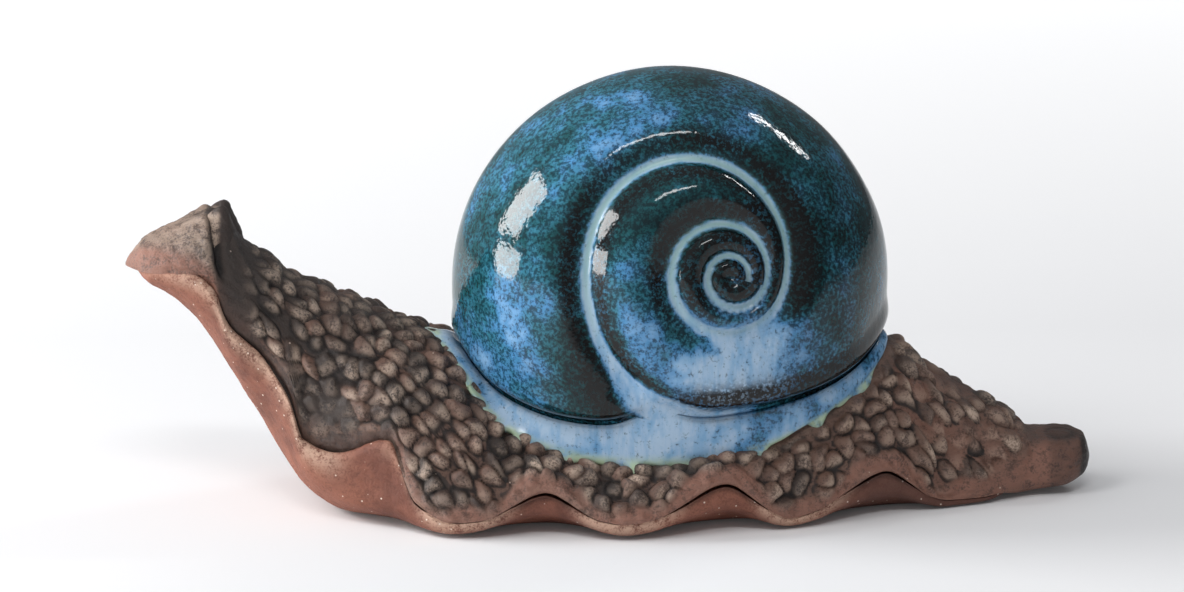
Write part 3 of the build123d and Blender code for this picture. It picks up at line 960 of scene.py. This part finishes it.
def slab_section(x):
    """The slab's closed section: hidden top, lip or crease, rounded face and flat sole."""
    lip, rolled = lip_share(x), hem(x) * (1 - lip_share(x))
    rim_y, rim_z = edge_y(x) - 2.5 * tip_share(x), edge_z(x)
    foot = between(x, -70, -52, 76, 88)
    squareness = 2.0 + 3.2 * foot
    face_y = rim_y + 0.9 * lip - (0.05 + 0.6 * arch_share(x)) * (1 - lip) * foot
    face_z = rim_z - 0.2 * lip - rolled
    turn = np.linspace(0, math.pi / 2, 90)
    thumb_bulge = (0.2 + 1.2 * foot * lip) * np.sin(turn * 2) ** 2
    y = (face_y + thumb_bulge) * np.cos(turn) ** (2 / squareness)
    edge_lift = np.minimum(lift_z(x), face_z - 0.8)
    inner = soft_step(y, face_y * 0.99, np.maximum(face_y - 11, face_y * 0.55))
    base = edge_lift + (under_z(x) - edge_lift) * inner
    z = face_z + (base - face_z) * np.sin(turn) ** (2 / squareness)
    z[-1] = under_z(x)
    inner_z = rim_z - 0.6 - rolled
    top_y = [0.0, rim_y * 0.7, rim_y - 2.0, rim_y - 0.6, rim_y + 0.25 * lip]
    top_z = [min(6.5, inner_z) if x > -50 else inner_z, inner_z, inner_z,
             rim_z + 0.65 * lip - rolled, rim_z + 0.75 * lip - rolled]
    size = round_off(x, -94.0, 4.2)
    face = arc_length(y * size, z * size)
    y = np.concatenate([top_y, y]) * size
    z = rim_z + (np.concatenate([top_z, z]) - rim_z) * size
    return np.concatenate([TOP_KNOTS, FACE_KNOT + (1 - FACE_KNOT) * face / face[-1]]), y, z


tube, places, x, around = clay_tube(
    SLAB_FRONT, SLAB_BACK, slab_section, ring_step=0.55, points_around=240,
)
press(tube, places)
off_sole = soft_step(places[:, 2], 0.3, 2.0)
raised = 0.3 * hand_waver(places * 1.3) + 0.08 * chipped(places)
places = places + outward(tube) * (raised * off_sole * soft_step(x, 87.2, 85.5))[:, None]
places[:, 2] = np.maximum(places[:, 2], 0)
press(tube, places)
# pale crest of the throat's lip and pale edges of the lobes: wear and a painted highlight
crest = bell(np.abs(around), FACE_KNOT, 0.085) * lip_share(x) * soft_step(x, -52, -62)
lobe_edge = bell(np.abs(around), FACE_KNOT, 0.05) * (1 - arch_share(x)) * between(x, -50, -40, 45, 60)
# painted shade where the slab tucks in under the skin over each arch
crease = bell(np.abs(around), 0.175, 0.035) * arch_share(x)
# painted shade: the slab is darker towards the tail
store(tube, crease=crease, wear=0.85 * crest + 0.9 * lobe_edge, wash=soft_step(x, 20, 70))
cut_apart(tube, smooth_clay, (
    ("red_throat", "throat_slab", "smooth_clay", PAST_SNOUT, THROAT_BACK),
    ("red_foot", "foot_slab", "smooth_clay", THROAT_BACK, TAIL_BACK),
))

# %% [markdown]
# ## Horns
# Each horn is a pinch of clay drawn up from the back of the head: long in front, where it runs out
# into the brow, and steep behind. A plain cone would look stuck on, so it is a short tube whose
# sections are longer to the front and whose tip is rounded off.

# %% Horns
HORN_TIP = 0.16  # part of a horn's height that is rounded off
HORN_ROOT = np.array([-80.4, 4.4, 54.5])
HORN_LEAN = np.array([0.06, 0.06, 1.0])


def horn_piece(name, node, side, tall):
    """A pinched horn: its front runs out into the brow, its back drops to the nape, its tip is round."""
    mirror = np.array([1, side, 1])
    root, lean = HORN_ROOT * mirror, HORN_LEAN * mirror

    def horn_section(along):
        left = 1 - along / tall
        closing = round_off(left, HORN_TIP, HORN_TIP)
        front, back, across = 1.2 + 7.8 * left, 1.0 + 3.4 * left, 1.1 + 3.0 * left
        turn = np.linspace(0, math.pi, 60)
        lengthwise = np.where(np.cos(turn) > 0, front, back) * np.cos(turn)
        return turn / math.pi, closing * across * np.sin(turn), closing * lengthwise

    cone, rough, along, _ = clay_tube(0.0, tall, horn_section, ring_step=0.25, points_around=72)
    upright = np.stack([-rough[:, 2], rough[:, 1], np.zeros(len(along))], axis=1)
    places = root + upright + along[:, None] * lean
    press(cone, places)
    places = places + outward(cone) * (0.25 * hand_waver(places * 2.2) + 0.1 * chipped(places))[:, None]
    press(cone, places)
    face = soft_step(upright[:, 0], 0.3, -1.0) * soft_step(along, tall - 0.8, tall - 2.2)
    # the horn's front below its tip is stored pale and its back dark
    store(cone, height=0.25 + 0.7 * face, tone=0 * face + 0.35, wear=0.75 * face, wiped=0 * face)
    finish_piece(name, cone, washed_clay, node)


horn_piece("pinched_left_horn", "left_horn", -1, 9.0)
horn_piece("pinched_right_horn", "right_horn", 1, 8.0)

# %% [markdown]
# ## Where the shell meets the body
# The glaze fringe and the dark edge above it both follow the line where the ball sinks into the
# cradle. Looking down each direction around the ball, the line lies where the ball's surface comes
# out of the skin, so it is found by stepping up the ball until it is clear of the body.

# %% Contact line around the shell
def skin_height(x, y):
    """Height of the body's back at a place, without pebbles."""
    across = np.clip(np.abs(y) / half_width(x), 0, 1)
    return (low(x) + high(x)) / 2 + (high(x) - low(x)) / 2 * np.sqrt(1 - across ** 2)


def on_ball(direction, z):
    """Point of the shell's ball in a direction around it and at a height."""
    ring = np.sqrt(np.clip(1 - ((z - SHELL_CENTRE[2]) / SHELL_AXES[2]) ** 2, 0, 1))
    x = SHELL_CENTRE[0] + SHELL_AXES[0] * ring * np.cos(direction)
    y = SHELL_AXES[1] * ring * np.sin(direction)
    return np.stack([x, y, z + 0 * x], axis=-1)


SMOOTHING = 13  # neighbours that are averaged along the line
contact_directions = np.linspace(-math.pi, math.pi, 361)
steps_up = np.linspace(SHELL_FOOT_Z, 44, 300)
contact_heights = []
for direction in contact_directions:
    points = on_ball(direction, steps_up)
    buried = np.nonzero(skin_height(points[:, 0], points[:, 1]) > points[:, 2])[0]
    contact_heights.append(steps_up[buried[-1]] if len(buried) else SHELL_FOOT_Z)
contact_heights = np.pad(contact_heights, SMOOTHING // 2, mode="wrap")
contact_heights = np.convolve(contact_heights, np.ones(SMOOTHING) / SMOOTHING, "valid")
lowest, highest = round(contact_heights.min(), 1), round(contact_heights.max(), 1)
print("contact line runs from", lowest, "to", highest, "mm up")


# %% Heights of the fringe
def contact_z(direction):
    """Height of the contact line in a direction around the shell."""
    return np.interp(direction, contact_directions, contact_heights)


def stream_mouth(direction):
    """1 where the glaze that ran down the groove flows into the fringe, 0 elsewhere."""
    return bell(np.abs(direction), 1.68, 0.16)


def fringe_rise(direction):
    """How far up the ball the pooled glaze reaches over the contact line: most at the sides."""
    turned = np.abs(direction)
    sides = 5.4 * np.sin(turned) ** 1.3 + 1.2 * bell(turned, 1.3, 0.35)
    return 2.2 + sides + 3.5 * stream_mouth(direction)


print("fringe reaches", round(float(fringe_rise(math.pi / 2)), 1), "mm up the sides")

# %% [markdown]
# ## The shell
# The coil is carved into a ball: one groove winds in from below, and the clay on both sides of it is
# rounded over, so that the turns swell like a real snail's. A sphere whose pole sits at the middle of
# the spiral has its finest faces where the turns are narrowest. The groove is drawn with a compass,
# half a turn at a time, and each vertex is raised by how far it is from the two grooves on either
# side of it. Both faces of the shell are carved alike.

# %% Spiral
SPIRAL_CENTRE = np.array([21.7, 53.7])
SPIRAL_AXIS = math.radians(162.6)
CROSSINGS = (28.6, 11.3, 11.7, 7.6, 4.2, 3.8)  # where the groove crosses its axis, from outside in
LEAD_RADIUS, LEAD_SWEEP = 30.7, math.radians(100)
RUN_OUT_SWEEP, RUN_OUT_REACH = math.radians(110), 32  # the outer end sinks away under the fringe
ARC_POINTS = 60


def compass_arc(offset, radius, start, sweep):
    """Points of an arc whose centre lies on the spiral's axis line, offset from the spiral's centre."""
    angle = start + sweep * np.linspace(0, 1, ARC_POINTS)
    axis = np.array([math.cos(SPIRAL_AXIS), math.sin(SPIRAL_AXIS)])
    return offset * axis + radius * np.stack([np.cos(angle), np.sin(angle)], axis=1)


arcs = [compass_arc(CROSSINGS[0] - LEAD_RADIUS, LEAD_RADIUS, SPIRAL_AXIS + LEAD_SWEEP, -LEAD_SWEEP)]
for number, (outer, inner) in enumerate(zip(CROSSINGS, CROSSINGS[1:])):
    side = 1 if number % 2 == 0 else -1
    start = SPIRAL_AXIS + (0 if side > 0 else math.pi)
    arcs.append(compass_arc(side * (outer - inner) / 2, (outer + inner) / 2, start, -math.pi))
spiral = np.concatenate(arcs)
winding = -np.unwrap(np.arctan2(spiral[:, 1], spiral[:, 0]))
winding_radius = np.hypot(spiral[:, 0], spiral[:, 1])
run_out = np.linspace(1, 0, ARC_POINTS, endpoint=False)
winding = np.concatenate([winding[0] - RUN_OUT_SWEEP * run_out, winding])
winding_radius = np.concatenate([winding_radius[0] + RUN_OUT_REACH * run_out ** 1.6, winding_radius])
print("the groove makes", round((winding[-1] - winding[0]) / (2 * math.pi), 2), "turns")

# %% Relief of the turns
WIDEST_TURN, NARROWEST_TURN = 20.0, 0.2
FAR_AWAY = 99.0
TURN_ROUNDING = 0.28  # share of a turn's width that is rounded over beside each groove
CROWN_SHARE, CROWN_MOST = 0.25, 3.2  # a turn's height by its width, and at most
SHOULDER_HEIGHT, SHOULDER_REACH = 2.8, 3.6  # the outermost turn swells only beside its inner groove
GROOVE_SHARE, GROOVE_LEAST, GROOVE_MOST = 0.16, 0.55, 1.15  # half a groove by its turn's width
GROOVE_DEPTH = 0.65


def turn_relief(angle, radius, rim):
    """Height of the carved turns over the plain ball, distance to the nearest groove, its half width."""
    laps = np.arange(-2, 5)
    wound = (-angle)[None, :] + 2 * math.pi * laps[:, None]
    radii = np.interp(wound, winding, winding_radius, left=np.inf, right=0.0)
    grooved = np.isfinite(radii) & (radii > 0)
    distance = np.min(np.where(grooved, np.abs(radii - radius), FAR_AWAY), axis=0)
    walls = np.concatenate([rim[None, :], np.minimum(radii, rim), 0 * rim[None, :]])
    relief, turn_width = np.zeros(len(radius)), np.full(len(radius), WIDEST_TURN)
    for outer, inner in zip(walls, walls[1:]):
        width = outer - inner
        wide = width > NARROWEST_TURN
        here = (radius <= outer) & (radius > inner) & wide
        across = np.clip((radius - inner) / np.where(wide, width, 1), 0, 1)
        rounded = (1 - bell(across, 0, TURN_ROUNDING)) * (1 - bell(across, 1, TURN_ROUNDING))
        crown = np.minimum(CROWN_SHARE * width, CROWN_MOST) * rounded
        shoulder = SHOULDER_HEIGHT * (1 - bell(radius, inner, SHOULDER_REACH)) * (1 - across ** 3)
        outermost = np.where(inner > 0, soft_step(outer, 0.7 * rim, rim), 0)
        relief[here] = (crown + (shoulder - crown) * outermost)[here]
        turn_width[here] = np.minimum(width, WIDEST_TURN)[here]
    groove_half = np.clip(GROOVE_SHARE * turn_width, GROOVE_LEAST, GROOVE_MOST)
    return relief - GROOVE_DEPTH * bell(distance, 0, groove_half), distance, groove_half


print("relief is ready")

# %% A ball with its pole at the middle of the spiral
ball = bmesh.new()
bmesh.ops.create_uvsphere(ball, u_segments=384, v_segments=240, radius=1)
unit = points_of(ball)
angle = np.arctan2(unit[:, 1], unit[:, 0])
side = np.where(unit[:, 2] > 0, -1.0, 1.0)
offset = SPIRAL_CENTRE - SHELL_CENTRE[[0, 2]]
along = offset[0] * np.cos(angle) + offset[1] * np.sin(angle)
rim = -along + np.sqrt(along ** 2 + SHELL_AXES[0] ** 2 - offset @ offset)
radius = np.hypot(unit[:, 0], unit[:, 1]) * rim
flat = offset[None, :] + radius[:, None] * np.stack([np.cos(angle), np.sin(angle)], axis=1)
share = np.clip(np.sum(flat ** 2, axis=1) / SHELL_AXES[0] ** 2, 0, 1)
across = side * SHELL_AXES[1] * np.sqrt(1 - share)
places = SHELL_CENTRE + np.stack([flat[:, 0], across, flat[:, 1]], axis=1)
normals = unit_rows((places - SHELL_CENTRE) / SHELL_AXES ** 2)
around = (places - SHELL_CENTRE) / SHELL_AXES
around_shell = np.arctan2(around[:, 1], around[:, 0])
over_fringe = places[:, 2] - contact_z(around_shell) - fringe_rise(around_shell)
print("shell has", len(ball.verts), "points")

# %% Carve the shell
relief, groove_distance, groove_half = turn_relief(angle, radius, rim)
on_side = 1 - share ** 3
groove_half = groove_half * (1 + 2.4 * soft_step(places[:, 2], 38, 23))
rolled_under = bell(np.clip(over_fringe, 0, None), 0, 2.8)
relief = (relief * on_side + 1.2 * soft_step(over_fringe, 9, 2)) * (1 - rolled_under)
relief = relief - 0.45 * rolled_under * (1 - 1.6 * stream_mouth(around_shell))
relief = relief + 0.2 * hand_waver(places * 0.8) * (1 - rolled_under)
places = places + normals * relief[:, None]
places[:, 2] = np.maximum(places[:, 2], SHELL_FOOT_Z)
press(ball, places)
print("turns swell by up to", round(float(relief.max()), 1), "mm")

# %% How thick the glaze lies on the shell
BLUE_SPOTS = (  # place along, height, size, amount
    (4, 81, 9, 0.28), (-8, 74, 8, 0.16), (-16.5, 49, 8, 0.08), (-25, 35, 10, 0.30), (21, 38, 11, 0.8),
    (21.5, 29.5, 10, 0.5), (32.5, 43.5, 6, 0.4), (24, 77, 8, 0.14), (3, 44, 7, 0.2), (-26, 57, 8, 0.14),
)
DARK_SPOTS = (
    (-8, 31, 9, 0.5), (42, 62, 14, 0.55), (46, 42, 12, 0.5), (20, 88, 10, 0.4), (22, 54, 8.5, 0.7),
)


def patches(spots):
    """Soft round patches on both faces of the shell, added up."""
    return sum(
        amount * bell(np.hypot(places[:, 0] - spot_x, places[:, 2] - spot_z), 0, size)
        for spot_x, spot_z, size, amount in spots
    )


lowered = soft_step(places[:, 2], 62, 30)
pool_half = groove_half * (1.0 + 0.4 * lowered)
past_mouth = soft_step(places[:, 0], 12, 19) * soft_step(places[:, 2], 37, 33)
groove_pool = soft_step(groove_distance, 1.05 * pool_half, 0.5 * pool_half) * on_side
groove_pool = groove_pool * (1 - past_mouth)
shoulder = bell(groove_distance, groove_half + 1.9, 1.9) * on_side
bulging = soft_step(places[:, 0], 6, 16)  # here the turn hangs over the shell's lower edge
bottom_edge = bell(over_fringe, 2.0 + 3.2 * bulging, 1.9 + 0.8 * bulging)
bottom_edge = bottom_edge * (1 + 0.6 * bulging) * (1 - stream_mouth(around_shell))
pooled = patches(BLUE_SPOTS)
dark = 1.15 * shoulder * (1 - np.clip(1.5 * pooled, 0, 1)) + 1.1 * bottom_edge + patches(DARK_SPOTS)
# celadon on the shell: pale glaze down the groove's upper part, lightest in its middle as a painted
# highlight
store(
    ball,
    thick=0.85 * groove_pool + pooled - 0.3 * shoulder,
    thin=np.clip(dark, 0, 1) * (1 - groove_pool),
    celadon=0.9 * bell(groove_distance, 0, 0.55 * pool_half) * on_side * (1 - lowered),
)
finish_piece("glazed_shell", ball, shell_glaze, "shell_glaze")

# %% [markdown]
# ## The glaze fringe
# Glaze that ran down the shell filled the crevice around it and crept out over the pebbles in small
# scallops. A circle is spun into a ring and its section is pressed into a fillet: it lies flush on
# the ball above, hollows into the crevice, and ends in a rounded edge on the skin.

# %% Fringe ring
FRINGE_STEPS, FRINGE_POINTS = 900, 44
ring = bmesh.new()
bmesh.ops.create_circle(ring, segments=FRINGE_POINTS, radius=0.3)
bmesh.ops.rotate(ring, verts=ring.verts, cent=(0, 0, 0), matrix=Matrix.Rotation(math.pi / 2, 3, "X"))
bmesh.ops.translate(ring, verts=ring.verts, vec=(1, 0, 0))
bmesh.ops.spin(
    ring, geom=ring.verts[:] + ring.edges[:], cent=(0, 0, 0), axis=(0, 0, 1),
    angle=2 * math.pi, steps=FRINGE_STEPS, use_merge=True,
)
rough = points_of(ring)
direction = np.arctan2(rough[:, 1], rough[:, 0])
section_angle = np.arctan2(rough[:, 2], np.hypot(rough[:, 0], rough[:, 1]) - 1)
section_turn = section_angle / math.pi
front = np.abs(section_angle) <= math.pi / 2
down = np.where(section_angle > math.pi / 2, section_turn - 0.5, 1.5 + section_turn)
down = np.where(front, 0.5 - section_turn, down)  # 0 at the fringe's top edge and 1 at its lower one
print("fringe ring has", len(rough), "points")


# %% Section of the fringe
def scallop(direction):
    """Ragged reach of the fringe's lower edge, in millimetres: rounded tongues of uneven length."""
    uneven = direction + 0.05 * np.sin(5 * direction) + 0.03 * np.sin(11 * direction + 1)
    return 0.7 * np.sin(23 * uneven) + 0.5 * np.sin(41 * uneven + 1) + 0.5 * np.sin(9 * uneven)


def on_skin(start, spread, reach, proud):
    """A point that far out from the contact line along the skin, standing a little proud of it."""
    x, y = start[:, 0] + reach * spread[:, 0], start[:, 1] + reach * spread[:, 1]
    return np.stack([x, y, skin_height(x, y) + proud], axis=1)


turned = np.abs(direction)
spread = unit_rows(np.stack([
    np.cos(direction), np.sin(direction) * SHELL_AXES[0] / SHELL_AXES[1],
], axis=1))
apron = soft_step(turned, 1.9, 2.6)  # the wider edge on the neck
top = on_ball(direction, contact_z(direction) + fringe_rise(direction))
crevice = on_ball(direction, contact_z(direction) + 1.2)
crevice[:, :2] = crevice[:, :2] + (1.9 + 2.0 * apron)[:, None] * spread
crevice[:, 2] = crevice[:, 2] + 0.8 * apron
reach = 0.6 + 1.6 * soft_step(turned, 0.7, 1.4) + 4.6 * apron
ragged = reach + scallop(direction) * soft_step(down, 0.7, 1.0)
end = on_skin(on_ball(direction, contact_z(direction)), spread, ragged, -0.7 + 0.5 * apron)
print("fringe reaches up to", round(float(ragged.max()), 1), "mm out over the skin")

# %% Fringe piece
weights = np.stack([(1 - down) ** 2, 2 * down * (1 - down), down ** 2], axis=1)
fillet = weights[:, :1] * top + weights[:, 1:2] * crevice + weights[:, 2:] * end
out = unit_rows(np.cross(np.stack([-spread[:, 1], spread[:, 0], 0 * reach], axis=1), end - top))
out = out * np.sign(out[:, 0] * spread[:, 0] + out[:, 1] * spread[:, 1])[:, None]
rounding = np.sqrt(np.clip(1 - np.clip((down - 0.8) / 0.2, 0, 1) ** 2, 0, 1)) * soft_step(down, 0, 0.2)
depth = np.where(front, (0.1 + 0.9 * down) * rounding, -1.6 * np.sin(math.pi * down))
places = fillet + out * depth[:, None]
press(ring, places)
store(
    ring,
    # towards the head the fringe is painted paler, as light where the shell's shade falls
    thick=0.48 + 0.22 * soft_step(turned, 1.1, 1.6) + 0.14 * hand_waver(places * 2.5),
    thin=np.where(front, 0.9 * bell(down, 0.0, 0.06), 0) * (1 - stream_mouth(direction)),
    celadon=soft_step(down, 0.55, 0.85),
)
finish_piece("pooled_glaze", ring, fringe_glaze, "glaze_fringe")

# %% [markdown]
# ## Bare clay under the glaze
# The two halves of the shell keep their CAD solids. They hardly show, but they are the same fired
# clay as the foot, so they get its material.

# %% Shell halves
for name in ("shell_left_half", "shell_right_half"):
    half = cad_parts[name]
    half.data.materials.clear()
    half.data.materials.append(smooth_clay)
    print(name, "is bare clay")
